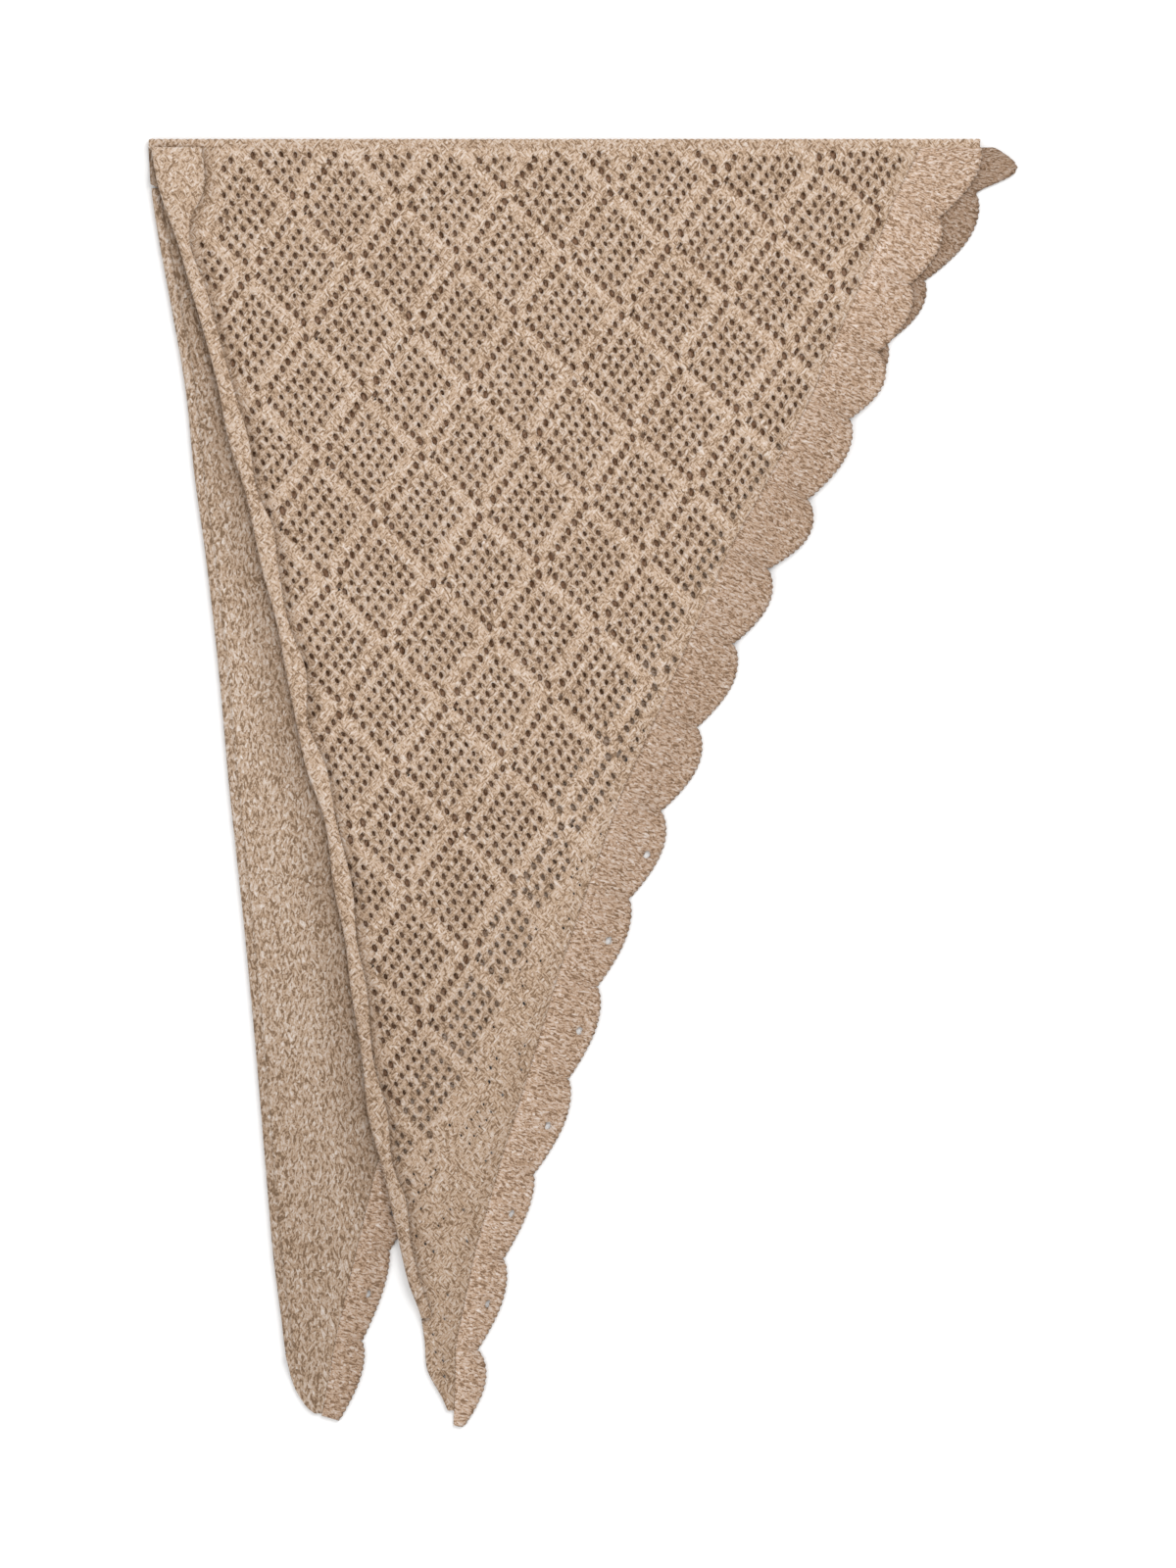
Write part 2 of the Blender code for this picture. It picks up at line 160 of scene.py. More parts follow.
def knit_material(name, tilt, stroke, lay, light=1.0, rosy=0.0):
    """Marl yarn whose strokes lean by tilt degrees and measure stroke (long, wide) in millimetres.

    lay names the coordinates: the object's own, or a UV map in metres. The piece's shade attribute
    darkens the cloth in its grooves and where another layer covers it.
    """
    made = bpy.data.materials.new(name)
    made.use_nodes = True
    tree = made.node_tree
    shader = tree.nodes["Principled BSDF"]
    shader.inputs["Roughness"].default_value = 0.85
    shader.inputs["Specular IOR Level"].default_value = 0.2
    shader.inputs["Sheen Weight"].default_value = 0.06
    shader.inputs["Sheen Roughness"].default_value = 0.6
    start = Wire(tree, None)
    if lay == "Object":
        spot = start.node("ShaderNodeTexCoord", "Object", {}, {})
    else:
        spot = start.node("ShaderNodeUVMap", "UV", {"uv_map": lay}, {})
    long, wide = stroke

    def noise(vector, scale, detail, **more):
        return start.node("ShaderNodeTexNoise", "Fac", {"noise_dimensions": "3D"},
                          {"Vector": vector, "Scale": scale, "Detail": detail, **more})

    def strokes(angle, size, seed):
        """Noise drawn out along a direction."""
        turned = start.node("ShaderNodeMapping", "Vector", {"vector_type": "TEXTURE"}, {
            "Vector": spot, "Location": (seed, seed / 3, 0), "Rotation": (0, 0, math.radians(angle)),
            "Scale": (long * size * 0.001, wide * size * 0.001, 0.02)})
        return noise(turned, 1.0, 1.0, Roughness=0.6, Distortion=0.6)

    right = strokes(tilt, 1.0, 0.013)
    left = strokes(180 - tilt, 1.15, 0.071)
    choose = noise(spot, PATCHES, 0.0).math("GREATER_THAN", 0.5)
    mixed = right * choose + left * (1 - choose)
    fuzz = noise(spot, FUZZ, 1.0)
    tone = mixed * 0.72 + fuzz * 0.22 + noise(spot, SLOW_TONE, 2.0) * 0.06
    ramp = tree.nodes.new("ShaderNodeValToRGB")
    tree.links.new(tone.socket, ramp.inputs["Fac"])
    stops = ramp.color_ramp.elements
    tint = [light * (1 + rosy * change) for change in ROSY_TINT]
    for stop, at, strand in (
        (stops[0], 0.4, DARK_STRAND), (stops[1], 0.6, LIGHT_STRAND), (stops.new(0.5), 0.49, MID_STRAND),
    ):
        stop.color = (*(c * t for c, t in zip(strand, tint)), 1)
        stop.position = at
    shade = start.node("ShaderNodeVertexColor", "Color", {"layer_name": "shade"}, {})
    # A Mix node of colours has its factor and its two colours at sockets 0, 6 and 7, and its result at 2
    colour = start.node("ShaderNodeMix", 2, {"data_type": "RGBA", "blend_type": "MULTIPLY"},
                        {0: 1.0, 6: Wire(tree, ramp.outputs["Color"]), 7: shade})
    tree.links.new(colour.socket, shader.inputs["Base Color"])
    bump = start.node("ShaderNodeBump", "Normal", {}, {
        "Height": mixed * 0.7 + fuzz * 0.3, "Strength": 0.55, "Distance": STROKE_DEPTH})
    tree.links.new(bump.socket, shader.inputs["Normal"])
    return made


def darkened(shade):
    """A shade as a colour, which turns browner as it darkens."""
    return (shade, shade ** 1.12, shade ** 1.25, 1)


def tail_shade(down):
    """The tails lie further from the light than the fold."""
    return 1 - 0.17 * ease(380, 820, down)


def finish_piece(bm, name, node, material, thickness, weights=None):
    """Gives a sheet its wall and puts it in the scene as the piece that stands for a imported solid.

    weights thin the wall at single points, by their share of the thickness.
    """
    mesh = bpy.data.meshes.new(name)
    bm.to_mesh(mesh)
    bm.free()
    mesh.shade_smooth()
    piece = bpy.data.objects.new(name, mesh)
    bpy.context.scene.collection.objects.link(piece)
    mesh.materials.append(material)
    wall = piece.modifiers.new("Wall", "SOLIDIFY")
    wall.thickness = thickness * 0.001
    wall.offset = 0
    if weights:
        group = piece.vertex_groups.new(name="bulk")
        for index, weight in weights.items():
            group.add([index], weight, "REPLACE")
        wall.vertex_group = "bulk"
    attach(piece, "root")
    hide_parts(node)
    return piece


# Lower panel: the half of the scarf underneath, wrong side up. It shows as a strip down the left and as
# the left tail. Its purl side is close and pebbly, so its eyelets hardly show.
BACK_EDGE = np.array([
    # down, across
    (0, 0), (41, 3), (67, 7), (116, 16), (174, 26), (232, 32), (290, 40), (369, 49), (447, 56),
    (541, 66), (636, 75), (719, 82), (785, 88), (815, 92), (849, 97), (872, 105), (883, 114), (889, 124),
], float)
FLAT_ROWS = 14.0  # down to here the lower layer lies flat
FOLD_SEAM = 6.0  # down to here the cloth belongs to the fold
BACK_ROLL_FROM = 34.0
BACK_ROLL_TO = 842.0
BACK_LIP = 9.0  # how far in the curled strip reaches underneath
BACK_LIFT_END = 24.0  # how far in it lifts the cloth
FRONT_LIFT = LAYER + 0.7
LIFT_SPREAD = 5.0  # the upper layer bridges it by this much more
ROLL_SEAM = 7.0  # width of an edge that belongs to its rolled strip
BACK_PANEL_END = 884.0
BACK_SCALLOPS = np.array([
    # across, down, bulge, width
    (579, 1, 25.5, 36), (574, 38, 11.5, 34), (538, 98, 8.5, 32), (512, 141, 9, 30),
    (483, 189, 10, 30), (449, 241, 10, 30), (415, 296, 10, 30), (381, 350, 10, 30),
    (348, 403, 10, 30), (316, 458, 9, 30), (286, 511, 9, 30), (259, 566, 8, 29), (234, 621, 8, 28),
    (206, 672, 7, 27), (182, 721, 6, 25), (167, 771, 4, 22), (148, 834, 6, 18), (132, 889, 0, 12),
], float)
SCALLOP_BLUNTNESS = 0.65  # power of the sine that rounds a scallop off
CORNER_BLUNTNESS = 1.2  # the corner scallop stands far out and is pointed
CORNER_BULGE = 20.0
SCALLOP_LEAN = 0.8  # a scallop is fuller towards the fold by this much
COVERED = (0.6, 0.46, 0.37)  # what the upper layer's eyelets show of this one, in its shadow


def back_outline(down):
    """Across of the lower layer's long edge."""
    return smooth(BACK_EDGE[:, 0], BACK_EDGE[:, 1], down)


def scallop_edge(scallops, at):
    """At a scallop number: the valley line's point, the outward direction there and the bulge."""
    k = min(int(at), len(scallops) - 2)
    t = at - k
    start, end = scallops[k, :2], scallops[k + 1, :2]
    run = (end - start) / np.linalg.norm(end - start)
    outward = np.array((run[1], -run[0]))
    power = CORNER_BLUNTNESS if scallops[k, 2] > CORNER_BULGE else SCALLOP_BLUNTNESS
    bulge = scallops[k, 2] * max(math.sin(math.pi * t), 0) ** power
    return start + (end - start) * t, outward, bulge * (1 + SCALLOP_LEAN * (0.5 - t))


def pick_up_line(scallops):
    """The line where the border is picked up from the panel, with a point for each scallop row."""
    line = []
    for k, (across, down, _, width) in enumerate(scallops):
        before = scallop_edge(scallops, max(k - 0.5, 0))[1]
        after = scallop_edge(scallops, min(k + 0.5, len(scallops) - 1.5))[1]
        outward = (before + after) / np.linalg.norm(before + after)
        line.append(np.array((across, down)) - outward * width)
    t = (FOLD_SEAM - line[0][1]) / (line[1][1] - line[0][1])
    line[0] = line[0] + (line[1] - line[0]) * t
    return np.array(line)


def line_across(line, down):
    """The across of a line of points at a distance down."""
    return float(np.interp(down, line[:, 1], line[:, 0]))


BACK_PICK_UP = pick_up_line(BACK_SCALLOPS)


def lift(across, down, spread):
    """How much the lower layer's curled edge lifts the cloth over it, by 0 to 1."""
    start = ease(FLAT_ROWS - spread, BACK_ROLL_FROM - 2 - spread, down)
    end = 1 - ease(BACK_ROLL_TO + 2 + spread, BACK_ROLL_TO + 20 + spread, down)
    from_edge = across - back_outline(down)
    return start * end * (1 - ease(BACK_LIP + 2 + spread, BACK_LIFT_END + spread, from_edge))


def back_floor(across, down):
    """Height of the lower layer's underside."""
    return LAYER * lift(across, down, 0)


def back_left(down):
    """The lower panel's own left edge."""
    return back_outline(down) + (ROLL_SEAM if BACK_ROLL_FROM <= down <= BACK_ROLL_TO else 0)


# The upper layer's rolled edge, which lies on the lower panel. Its strip is widest at the fold.
FRONT_ROLL = np.array([
    # down, across, width
    (0, 1, 36), (39, 9, 29), (56, 15, 15), (73, 21, 8), (101, 29, 10), (135, 39, 9.5), (169, 48, 10),
    (209, 56, 14), (247, 68, 8.5), (270, 73, 14), (294, 78, 12), (339, 90, 8.5), (366, 95, 14),
    (410, 104, 8), (434, 109, 14), (471, 122, 8), (520, 129, 13), (558, 137, 8), (585, 140, 11),
    (643, 149, 8), (673, 152, 13.5), (716, 163, 8), (733, 167, 11), (765, 174, 8), (794, 181, 8),
    (816, 189, 7.5), (834, 192, 7), (854, 194, 7), (875, 205, 7), (890, 211, 7),
], float)
FRONT_ROLL_FROM = 8.0
FRONT_ROLL_TO = 818.0


def front_outline(down):
    """Across of the upper layer's long edge."""
    return smooth(FRONT_ROLL[:, 0], FRONT_ROLL[:, 1], down)


def roll_width(down):
    """Width of the rolled strip on the upper layer's face."""
    return smooth(FRONT_ROLL[:, 0], FRONT_ROLL[:, 2], down)


def back_shade(across, down):
    """Colour of the lower panel's shade: under the upper one, and in the groove beside its rolled edge."""
    beside = front_outline(down) - across
    if beside < -7 and down < FRONT_ROLL_TO + 30:
        return (*(c * tail_shade(down) for c in COVERED), 1)
    groove = 0.26 * (1 - ease(2, 34, beside)) * (1 - ease(FRONT_ROLL_TO - 60, FRONT_ROLL_TO + 10, down))
    return darkened(tail_shade(down) * (1 - groove))


BACK_STEP = 3.2
BACK_COLUMNS = 110
bm = bmesh.new()
back_rows = round((BACK_PANEL_END - FOLD_SEAM) / BACK_STEP)
bmesh.ops.create_grid(bm, x_segments=BACK_COLUMNS, y_segments=back_rows, size=1)
shade = bm.verts.layers.float_color.new("shade")
for vert in bm.verts:
    down = FOLD_SEAM + (1 - vert.co.y) / 2 * (BACK_PANEL_END - FOLD_SEAM)
    low, high = back_left(down), line_across(BACK_PICK_UP, down)
    t = (vert.co.x + 1) / 2
    across = low + (high - low) * (0.45 * t + 0.55 * t * t)
    pebble = 0.22 * math.sin(across * 1.4) * math.sin(down * 1.15 + across * 0.2)
    edge = ease(0, 3, min(across - low, high - across, BACK_PANEL_END - down, down - FOLD_SEAM))
    height = back_floor(across, down) + WALL / 2 + edge * (0.25 * waves(across, down) + pebble)
    vert.co = place(across, down, height)
    vert[shade] = back_shade(across, down)
purl = knit_material("wrong_side_knit", 74, (4.4, 1.7), "Object", light=0.98)
back_panel = finish_piece(bm, "lower_panel_knit", "back_panel", purl, WALL - 0.4)

# Upper panel: the half on top, right side up, in diamond lattice. Lines of eyelets cross at a plain
# knot, plain bars run beside them, and each diamond between is filled with smaller eyelets.
FRONT_PANEL_END = 882.0
FRONT_SCALLOPS = np.array([
    # across, down, bulge, width
    (577, 4, 8, 36), (548, 55, 8.5, 33), (528, 101, 8.5, 31), (506, 148, 12, 30), (486, 194, 10, 30),
    (457, 250, 13, 30), (429, 298, 11, 29), (405, 350, 11, 28), (380, 408, 11.5, 28),
    (355, 466, 10.5, 29), (333, 527, 7.5, 29), (311, 588, 8, 28), (291, 652, 8, 27),
    (267, 718, 5, 24), (246, 777, 7.5, 20), (228, 840, 9.5, 15), (218, 893.5, 0, 6),
], float)
DROP_MARGIN = 23.0  # how far past the lower layer's valleys the upper one starts down
DROP_LENGTH = 13.0
KNOT_ACROSS = 219.0
KNOT_DOWN = 83.0
DIAMOND_WIDE = 73.0
DIAMOND_TALL = 87.0
COLUMN_LEAN = 7.8  # a column leans to the right by this in each diamond
ROW_RISE = 4.0  # a row rises to the right by this in each diamond
ROW_CURVE = 0.9  # and curves up past the starting knot
ROW_FAN = 1.6  # more so in the next rows below, as far down as FAN_ROWS
FAN_ROWS = 2
KNOT_EYELET = (3.8, 6.3)  # width and height
LINE_EYELET = (3.3, 5.3)
FILL_EYELET = (2.6, 4.3)
SMALL_EYELET = 0.42  # past the lower layer's rim, where few eyelets stay open
CLOSED_SHARE = 0.6
LEFT_MARGIN = 5.5  # plain cloth between an eyelet's middle and each edge
RIGHT_MARGIN = 4.2
TAIL_MARGIN = 8.0
FLAP_ACROSS = 50.0  # the wide end of the rolled strip lies on plain cloth
FLAP_DOWN = 72.0
SPARE = 9.0  # lattice past an edge, before it is cut
EYELET_TURN = 20.0  # degrees, and half of it at the right
EYELET_SLIP = 0.32
SITES = 118  # each way from the starting knot
RIM_MARK = 10.0
STITCHES = 16  # eyelet sites in a diamond's width, and in its height
HALF = STITCHES // 2
# Stitches draw the eyelets of a diamond together, so the bars beside its lines are not equally wide
DRAWN_FROM = (0, 0.5, 1.5, 2.5, 3.5, 4.5, 5.5, 6.5, 8)
DRAWN_A = (0, 0.5, 0.95, 2.0, 3.15, 4.3, 5.4, 6.45, 8)
DRAWN_B = (0, 0.55, 1.7, 2.7, 3.65, 4.6, 5.55, 6.5, 8)
FRONT_PICK_UP = pick_up_line(FRONT_SCALLOPS)


def front_left(down):
    """The upper panel's own left edge."""
    return front_outline(down) + (ROLL_SEAM if FRONT_ROLL_FROM <= down <= FRONT_ROLL_TO else 0)


def drop_start(down):
    """Where the upper layer leaves the lower one and starts down to the surface."""
    return float(np.interp(down, BACK_SCALLOPS[:, 1], BACK_SCALLOPS[:, 0])) + DROP_MARGIN


def front_floor(across, down):
    """Height of the upper layer's underside."""
    start = drop_start(down)
    on_back = 1 - ease(start, start + DROP_LENGTH, across)
    return (LAYER + FRONT_LIFT * lift(across, down, LIFT_SPREAD)) * on_back


def chart(a, b):
    """Across and down of a point of the lattice, whose sites are the whole numbers a and b."""
    a = a - a % HALF + float(np.interp(a % HALF, DRAWN_FROM, DRAWN_A))
    b = b - b % HALF + float(np.interp(b % HALF, DRAWN_FROM, DRAWN_B))
    right, below = (a + b) / STITCHES, (a - b) / STITCHES
    across = KNOT_ACROSS + DIAMOND_WIDE * right + COLUMN_LEAN * below
    fan = max(right, 0) * (ROW_CURVE * right + ROW_FAN * min(below, FAN_ROWS))
    return across, KNOT_DOWN + DIAMOND_TALL * below - ROW_RISE * right - fan


def eyelet_size(a, b, across, down, chance):
    """Width and height of the eyelet at a lattice site, or None where the chart has a plain stitch."""
    on_a, on_b = a % HALF == 0, b % HALF == 0
    if on_a and on_b:
        return None
    if on_a or on_b:
        beside = {a % HALF, b % HALF} & {1, HALF - 1}
        wide, tall = KNOT_EYELET if beside else LINE_EYELET
    elif a % HALF in (1, HALF - 1) or b % HALF == HALF - 1:
        return None
    else:
        wide, tall = FILL_EYELET
    scale = 0.84 + 0.3 * chance
    if across > drop_start(down) - DROP_MARGIN:
        if chance < CLOSED_SHARE:
            return None
        scale *= SMALL_EYELET
    return wide * scale, tall * scale


def lattice_piece(name, node, floor, left, pick_up, first, last, material):
    """A panel of charted lattice, cut to its edges, with an open eyelet wherever the chart has one.

    Each face of the grid is a site of the chart. Until the last loop a point's x is its share of the
    panel's width, its y is metres down, and its z is the bar beside a line of eyelets, or RIM_MARK.
    """
    bm = bmesh.new()
    bmesh.ops.create_grid(bm, x_segments=2 * SITES + 1, y_segments=2 * SITES + 1, size=SITES + 0.5)
    outside, holes, plain = [], [], []
    rng = np.random.default_rng(7)
    for face in bm.faces:
        a, b = (round(v) for v in face.calc_center_median()[:2])
        across, down = chart(a, b)
        chance, lean, slip = rng.random(), rng.normal(), rng.normal(size=2)
        from_left, from_right = across - left(down), line_across(pick_up, down) - across
        if min(down - first, last - down, from_left, from_right) < -SPARE:
            outside.append(face)
            continue
        size = eyelet_size(a, b, across, down, chance)
        clear = min(from_left - LEFT_MARGIN, from_right - RIGHT_MARGIN, down - first - RIGHT_MARGIN,
                    last - down - TAIL_MARGIN)
        under_flap = across < FLAP_ACROSS and down < FLAP_DOWN
        if size and clear > 0 and not under_flap:
            holes.append((face, across, down, size, lean, slip))
        else:
            plain.append(face)
    bmesh.ops.delete(bm, geom=outside, context="FACES")
    bmesh.ops.bisect_edges(bm, edges=bm.edges, cuts=1)
    bmesh.ops.inset_individual(bm, faces=[h[0] for h in holes], thickness=0.15)
    bmesh.ops.poke(bm, faces=plain)
    spots = {}
    for face, across, down, (wide, tall), lean, slip in holes:
        centre = face.calc_center_median()
        turn = math.radians(EYELET_TURN * (1 - 0.5 * ease(300, 480, across)) + 9 * lean)
        for vert in face.verts:
            a, b = (vert.co - centre)[:2]
            angle = math.atan2(-(a - b), a + b)
            x, y = wide / 2 * math.cos(angle), tall / 2 * math.sin(angle)
            dx = x * math.cos(turn) - y * math.sin(turn) + EYELET_SLIP * slip[0]
            dy = x * math.sin(turn) + y * math.cos(turn) + EYELET_SLIP * slip[1]
            spots[vert] = (across + dx, down - dy)
    for vert in bm.verts:
        a, b = vert.co[:2]
        from_line = min((a + 0.9) % HALF, (b + 1.4) % HALF)
        bar = math.exp(-(((from_line - 0.1) / 0.6) ** 2))
        across, down = spots.get(vert) or chart(a, b)
        low, high = left(down), line_across(pick_up, down)
        vert.co = ((across - low) / (high - low), down / 1000, RIM_MARK if vert in spots else bar)
    bmesh.ops.delete(bm, geom=[h[0] for h in holes], context="FACES_ONLY")
    for spot, normal in (
        ((0, 0, 0), (-1, 0, 0)), ((1, 0, 0), (1, 0, 0)),
        ((0, first / 1000, 0), (0, -1, 0)), ((0, last / 1000, 0), (0, 1, 0)),
    ):
        geom = [*bm.verts, *bm.edges, *bm.faces]
        bmesh.ops.bisect_plane(bm, geom=geom, dist=1e-6, plane_co=spot, plane_no=normal, clear_outer=True)
    weights = {}
    shade = bm.verts.layers.float_color.new("shade")
    bm.verts.index_update()
    for vert in bm.verts:
        down = vert.co.y * 1000
        low, high = left(down), line_across(pick_up, down)
        across = low + (high - low) * vert.co.x
        rim, bar = vert.co.z > RIM_MARK / 2, vert.co.z
        weights[vert.index] = 0.35 if rim else 1.0
        edge = ease(0, 6, min(across - low, high - across, last - down, down - first))
        relief = 0.3 * waves(across, down) + (0 if rim else 0.22 * bar)
        height = floor(across, down) + WALL / 2 + edge * relief
        vert.co = place(across, down, height)
        # Painted shadow of the rolled strip on the panel beside its free edge.
        beside = across - front_outline(down) - roll_width(down)
        roll = 0.3 * (1 - ease(-1, 13, beside)) * (1 - ease(FRONT_ROLL_TO - 60, FRONT_ROLL_TO, down))
        covered = across < drop_start(down) - DROP_MARGIN
        # Painted shade darkens the eyelet walls where the lower layer lies beneath, and painted light
        # makes the raised bars a little lighter.
        eyelet_shade_bar_light = 1 - 0.24 * covered if rim else 0.985 + 0.035 * bar
        beside_border = 0.09 * (1 - ease(0, 20, high - across))
        vert[shade] = darkened(tail_shade(down) * (1 - roll) * (1 - beside_border) * eyelet_shade_bar_light)
    bmesh.ops.reverse_faces(bm, faces=bm.faces)
    return finish_piece(bm, name, node, material, WALL - 0.2, weights)


right_side = knit_material("lattice_knit", 52, (3.8, 1.3), "Object", light=1.12)
front_panel = lattice_piece("upper_panel_lattice", "front_panel", front_floor, front_left, FRONT_PICK_UP,
                            FOLD_SEAM, FRONT_PANEL_END, right_side)

# Borders: knitted on to each slanting edge, in close plain rows that fan out round each scallop. The
# rim is cast off, so it has small bumps. The border knit is a little rosier, and painted shade darkens its
# rim.
BORDER_LANES = 14
BORDER_ROW = 1.1
STITCH_ALONG = 4.4
RIM_BUMP = 0.55
FIRST_EYELET_SCALLOP = 5  # the scallops above it show no eyelet
EYELET_INSET = 9.5
EYELET_REACH = 6.4
EYELET_ROWS = 2  # rows that an eyelet takes to each side
EYELET_SPREAD = 3  # the cloth gives way this many times as far
EYELET_WIDTH = 0.75  # lanes
EYELET_LENGTH = 1.35  # times EYELET_ROWS


def border_rows(scallops, pick_up):
    """Rows of the border, each with its ends, its run along the rim and how far it is from a valley."""
    steps = []
    for k in range(len(scallops) - 1):
        length = np.linalg.norm(scallops[k + 1, :2] - scallops[k, :2])
        count = math.ceil(length / BORDER_ROW)
        steps += [k + i / count for i in range(count)]
    steps.append(len(scallops) - 1)
    rows, run, last = [], 0.0, None
    for at in steps:
        k = min(int(at), len(scallops) - 2)
        point, outward, bulge = scallop_edge(scallops, at)
        inner = pick_up[k] + (pick_up[k + 1] - pick_up[k]) * (at - k)
        outer = point + outward * bulge
        if last is not None:
            run += np.linalg.norm(outer - last)
        last = outer.copy()
        outer = outer + outward * RIM_BUMP * math.cos(run * 2 * math.pi / STITCH_ALONG)
        outer[1] = max(outer[1], FOLD_SEAM)
        valley = abs(at - round(at)) * np.linalg.norm(scallops[k + 1, :2] - scallops[k, :2])
        rows.append((inner, outer, run, valley))
    return steps, rows


def rim_eyelets(scallops, floor, steps, rows):
    """Lane and row of the eyelet inside the rim of each scallop that lies level."""
    for k in range(FIRST_EYELET_SCALLOP, len(scallops) - 2):
        point, outward, bulge = scallop_edge(scallops, k + 0.5)
        across, down = point + outward * (bulge - EYELET_INSET)
        around = [floor(across + dx, down + dy)
                  for dx in (-EYELET_REACH, EYELET_REACH) for dy in (-EYELET_REACH, EYELET_REACH)]
        if max(around) - min(around) < 0.02:
            row = int(np.argmin(np.abs(np.array(steps) - k - 0.5)))
            inner, outer = rows[row][:2]
            lane = round((1 - EYELET_INSET / np.linalg.norm(outer - inner)) * BORDER_LANES)
            yield lane, row


def pulled_open(lane, row, eyelets):
    """Lane and row of a stitch once the eyelets near it are open, and how near the nearest rim is."""
    near = 0
    for eye_lane, eye_row in eyelets:
        u, v = lane - eye_lane, (row - eye_row) / EYELET_ROWS
        away = max(abs(u), abs(v))
        if 1 <= away < EYELET_SPREAD:
            pull = 1 - ease(1, EYELET_SPREAD, away)
            ring = away / math.hypot(u, v)
            lane += (EYELET_WIDTH * ring - 1) * u * pull
            row += (EYELET_LENGTH * ring - 1) * v * pull * EYELET_ROWS
            near = max(near, pull)
    return lane, row, near


def border_piece(name, node, scallops, pick_up, floor, material, own_shade):
    """A scalloped border from its pick-up line to its bumpy rim, with its eyelets open."""
    steps, rows = border_rows(scallops, pick_up)
    eyelets = list(rim_eyelets(scallops, floor, steps, rows))
    bm = bmesh.new()
    bmesh.ops.create_grid(bm, x_segments=BORDER_LANES, y_segments=len(rows) - 1, size=1, calc_uvs=True)
    uv = bm.loops.layers.uv.new("along_rim")
    shade = bm.verts.layers.float_color.new("shade")
    opened = []
    for face in bm.faces:
        x, y = face.calc_center_median()[:2]
        lane, row = (x + 1) / 2 * BORDER_LANES, (1 - y) / 2 * (len(rows) - 1)
        if any(abs(lane - e[0]) < 1 and abs(row - e[1]) < EYELET_ROWS for e in eyelets):
            opened.append(face)
    bmesh.ops.delete(bm, geom=opened, context="FACES")
    laid = {}
    for vert in bm.verts:
        lane = round((vert.co.x + 1) / 2 * BORDER_LANES)
        row = round((1 - vert.co.y) / 2 * (len(rows) - 1))
        lane, row, near = pulled_open(lane, row, eyelets)
        k = min(int(row), len(rows) - 2)
        inner, outer, run, valley = (a + (b - a) * (row - k) for a, b in zip(rows[k], rows[k + 1]))
        t = lane / BORDER_LANES
        across, down = inner + (outer - inner) * t
        reach = np.linalg.norm(outer - inner)
        laid[vert] = (run * 0.001, reach * t * 0.001)
        from_rim = reach * (1 - t)
        groove = 0.15 * math.exp(-((reach * t - 1.5) ** 2) / 3)
        bead = 0.55 * math.exp(-((from_rim - 2.6) ** 2) / 4)
        ridge = 0.16 * math.cos(run * 2 * math.pi / STITCH_ALONG) * ease(0, 5, reach * t)
        seam = ease(0, 2, min(reach * t, down - FOLD_SEAM))
        height = floor(across, down) + WALL / 2
        tuck = math.exp(-((valley / 6) ** 2)) * ease(2, reach, reach * t) * ease(0, 12, down)
        height += seam * (bead + ridge + 0.2 * waves(across, down) - 0.5 * tuck)
        height -= groove * ease(0, 0.5, reach * t)
        vert.co = place(across, down, height)
        # Painted shade along the rim, in the tucks between scallops and round the eyelets. Near the
        # pick-up line the border is a little lighter.
        dark = 0.2 * (1 - ease(0, 2.5, from_rim)) + 0.1 * tuck + 0.08 * near
        light = 0.1 * (1 - ease(0, 16, reach * t))
        vert[shade] = darkened(own_shade(across, down) * (1 - dark + light))
    for face in bm.faces:
        for loop in face.loops:
            loop[uv].uv = laid[loop.vert]
    return finish_piece(bm, name, node, material, WALL - 0.6)


border_knit = knit_material("border_knit", 80, (4.0, 1.5), "along_rim", light=1.0, rosy=0.4)
back_border = border_piece(
    "lower_border_knit", "back_border", BACK_SCALLOPS, BACK_PICK_UP, lambda across, down: 0, border_knit,
    lambda across, down: tail_shade(down) * (0.68 + 0.3 * ease(300, 700, down)))
front_border = border_piece(
    "upper_border_knit", "front_border", FRONT_SCALLOPS, FRONT_PICK_UP, front_floor, border_knit,
    lambda across, down: 1.02 - 0.17 * ease(60, 260, down) + 0.07 * ease(400, 640, down))

# Rolled edges: stocking stitch curls, so the lower layer's long edge curls under, and the upper one's
# rolls over onto its face as a narrow wavy strip, wide at the fold. The fold itself is turned cloth.
FRONT_BEND = 2.2
BACK_BEND = LAYER / 2
FOLD_BEND = LAYER / 2
FOLD_ACROSS = 577.0
ROLL_ROWS = 520
TURN_STEPS = 10
STITCH_BUMP = 0.18


def turn(bend, steps):
    """Points of a half turn about the origin, from below, by the left, to above."""
    angles = [math.radians(-90 - 180 * i / steps) for i in range(steps + 1)]
    return [(bend * math.cos(angle), bend * math.sin(angle)) for angle in angles]


def front_roll_section(down):
    """The rolled edge's middle surface, from the panel's edge round to the strip's free edge."""
    reach = FRONT_BEND + WALL / 2
    low = WALL / 2
    outline = front_outline(down)
    section = [(front_left(down) - outline, low)]
    section += [(reach + x, low + FRONT_BEND + z) for x, z in turn(FRONT_BEND, TURN_STEPS)]
    top = low + 2 * FRONT_BEND
    free = max(roll_width(down), reach + 3)
    rest = LAYER + low + GAP
    for i in range(1, 7):
        t = i / 6
        crown = 0.5 * math.sin(math.pi * t)
        section.append((reach + (free - reach) * t, top + (rest - top) * ease(0, 1, t) + crown))
    return [place(outline + e, down, front_floor(outline + e, down) + h) for e, h in section]


def back_roll_section(down):
    """The curled edge's middle surface, from the strip underneath round to the panel's edge."""
    reach = BACK_BEND + WALL / 2
    low = WALL / 2
    section = [(BACK_LIP, low)]
    section += [(reach + x, low + BACK_BEND + z) for x, z in turn(BACK_BEND, TURN_STEPS)]
    section += [(ROLL_SEAM, low + 2 * BACK_BEND)]
    outline = back_outline(down)
    return [place(outline + e, down, h) for e, h in section]


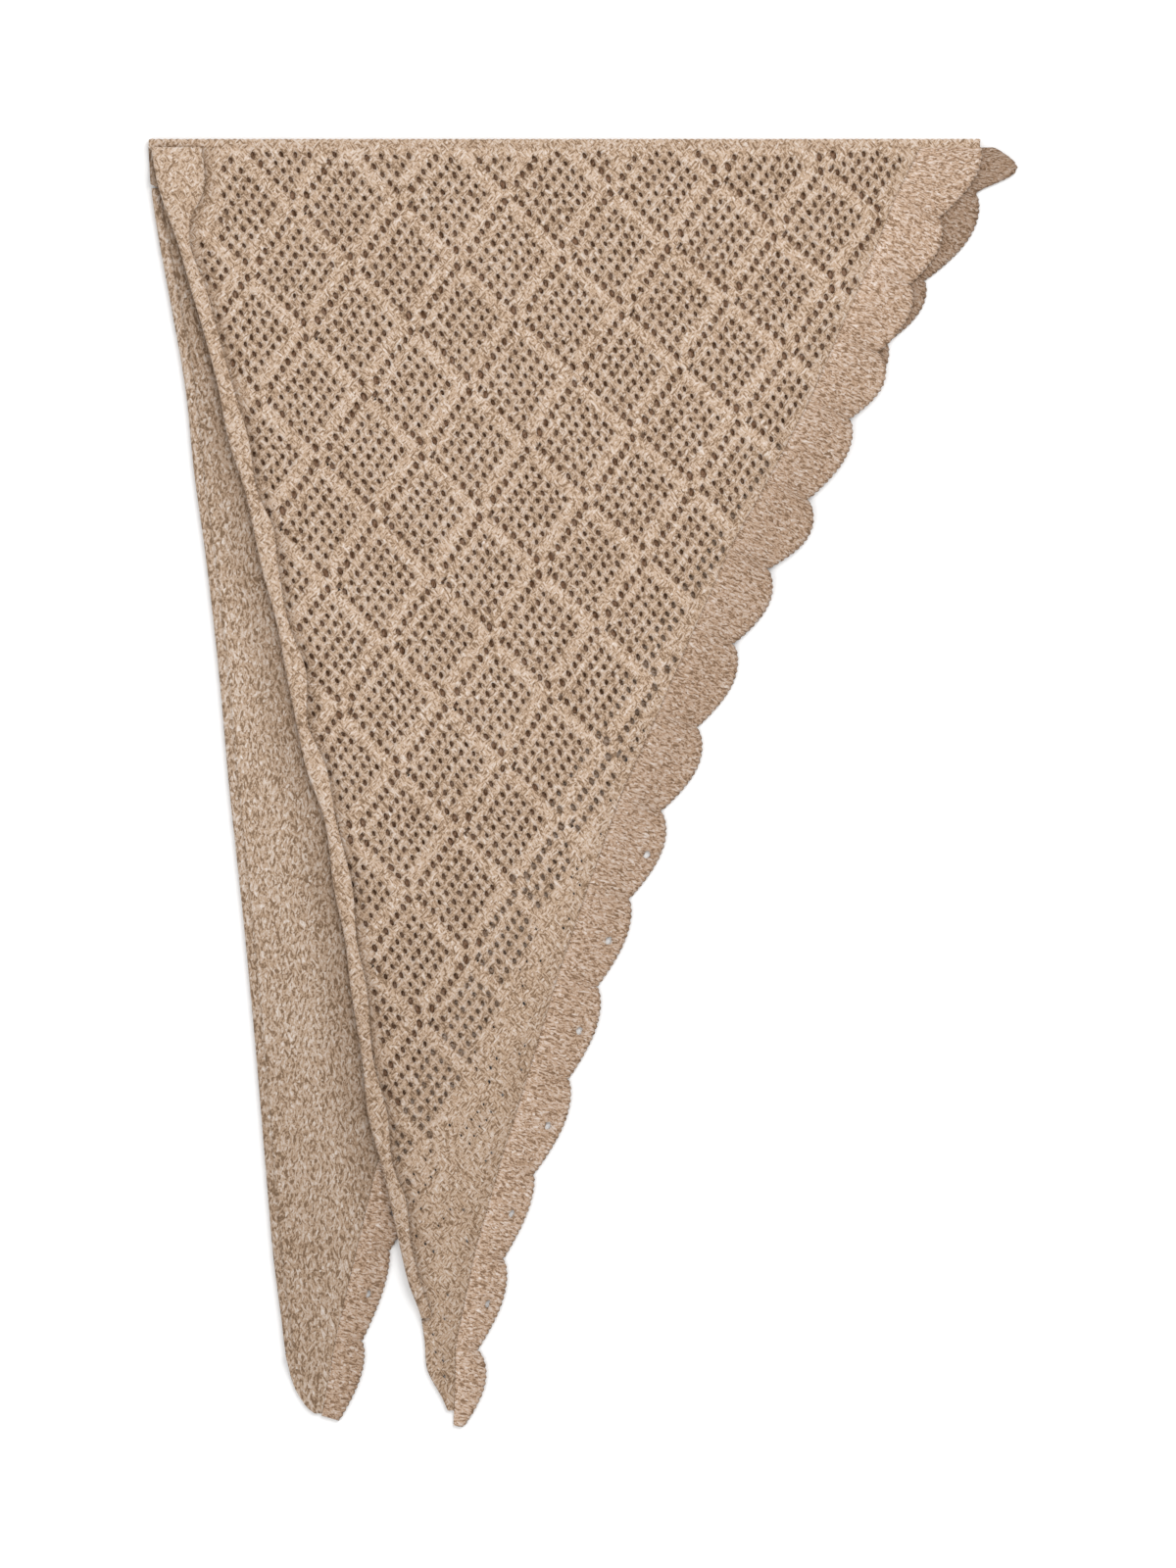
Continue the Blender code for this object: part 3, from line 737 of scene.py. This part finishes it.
def fold_section(across):
    """The turned cloth of the fold, from the lower panel round to the upper one."""
    reach = FOLD_BEND + WALL / 2
    low = WALL / 2
    bump = 0.3 * math.sin(across * 2 * math.pi / STITCH_ALONG)
    tuck = FOLD_SEAM + 1.6
    section = [(tuck, low)]
    section += [(reach + x + bump, low + FOLD_BEND + z) for x, z in turn(FOLD_BEND, TURN_STEPS)]
    section += [(FOLD_SEAM - 0.4, low + 2 * FOLD_BEND), (tuck, low + 2 * FOLD_BEND - 0.6)]
    return [place(across, down, height) for down, height in section]


def swept_piece(name, node, sections, shades, material):
    """A strip through a list of sections, with stitch bumps along it and a shade for each row."""
    bm = bmesh.new()
    shade = bm.verts.layers.float_color.new("shade")
    columns = len(sections[0])
    bmesh.ops.create_grid(bm, x_segments=columns - 1, y_segments=len(sections) - 1, size=1)
    for vert in bm.verts:
        column = round((vert.co.x + 1) / 2 * (columns - 1))
        row = round((1 - vert.co.y) / 2 * (len(sections) - 1))
        spot = sections[row][column].copy()
        inside = 0 < column < columns - 1
        spot.z += 0.001 * STITCH_BUMP * math.sin(row * 2.1 + column * 0.7) * inside
        vert.co = spot
        vert[shade] = darkened(shades[row])
    return finish_piece(bm, name, node, material, WALL - 0.4)


roll_downs = np.linspace(FOLD_SEAM + GAP, FRONT_ROLL_TO - GAP, ROLL_ROWS)
front_roll = swept_piece("upper_rolled_edge", "front_edge_roll",
                         [front_roll_section(d) for d in roll_downs],
                         [0.97 * tail_shade(d) for d in roll_downs], right_side)
curl_downs = np.linspace(BACK_ROLL_FROM + GAP, BACK_ROLL_TO - GAP, ROLL_ROWS)
back_roll = swept_piece("lower_curled_edge", "back_edge_roll",
                        [back_roll_section(d) for d in curl_downs],
                        [0.95 * tail_shade(d) for d in curl_downs], purl)
fold_downs = np.linspace(FOLD_ACROSS, 1, ROLL_ROWS)
fold = swept_piece("folded_edge", "top_fold", [fold_section(a) for a in fold_downs],
                   [0.94] * len(fold_downs), right_side)

# Surface: a plain pale sheet of card under the scarf, a hair below it. Soft light comes from above, and a
# little more from the upper right.
CARD_REACH = 3.0
CARD_DEPTH = 0.0005
bm = bmesh.new()
bmesh.ops.create_grid(bm, x_segments=1, y_segments=1, size=CARD_REACH)
bmesh.ops.translate(bm, verts=bm.verts, vec=(0, 0, -CARD_DEPTH))
floor_mesh = bpy.data.meshes.new("surface")
bm.to_mesh(floor_mesh)
bm.free()
floor = bpy.data.objects.new("surface", floor_mesh)
bpy.context.scene.collection.objects.link(floor)
card = bpy.data.materials.new("card")
card.use_nodes = True
card.node_tree.nodes["Principled BSDF"].inputs["Base Color"].default_value = (0.92, 0.92, 0.92, 1)
card.node_tree.nodes["Principled BSDF"].inputs["Roughness"].default_value = 0.9
floor_mesh.materials.append(card)

for name, spot, size, power in (
    ("key", (1.4, 1.7, 2.8), 2.2, 66),
    ("fill", (-1.8, -1.2, 2.8), 2.6, 30),
):
    light = bpy.data.objects.new(name, bpy.data.lights.new(name, "AREA"))
    bpy.context.scene.collection.objects.link(light)
    light.data.size = size
    light.data.energy = power
    light.location = spot
    light.rotation_euler = Vector(spot).to_track_quat("Z", "Y").to_euler()
world = bpy.data.worlds.new("room")
bpy.context.scene.world = world
world.use_nodes = True
world.node_tree.nodes["Background"].inputs["Color"].default_value = (1, 1, 1, 1)
world.node_tree.nodes["Background"].inputs["Strength"].default_value = 0.75
bpy.context.scene.view_settings.view_transform = "Standard"
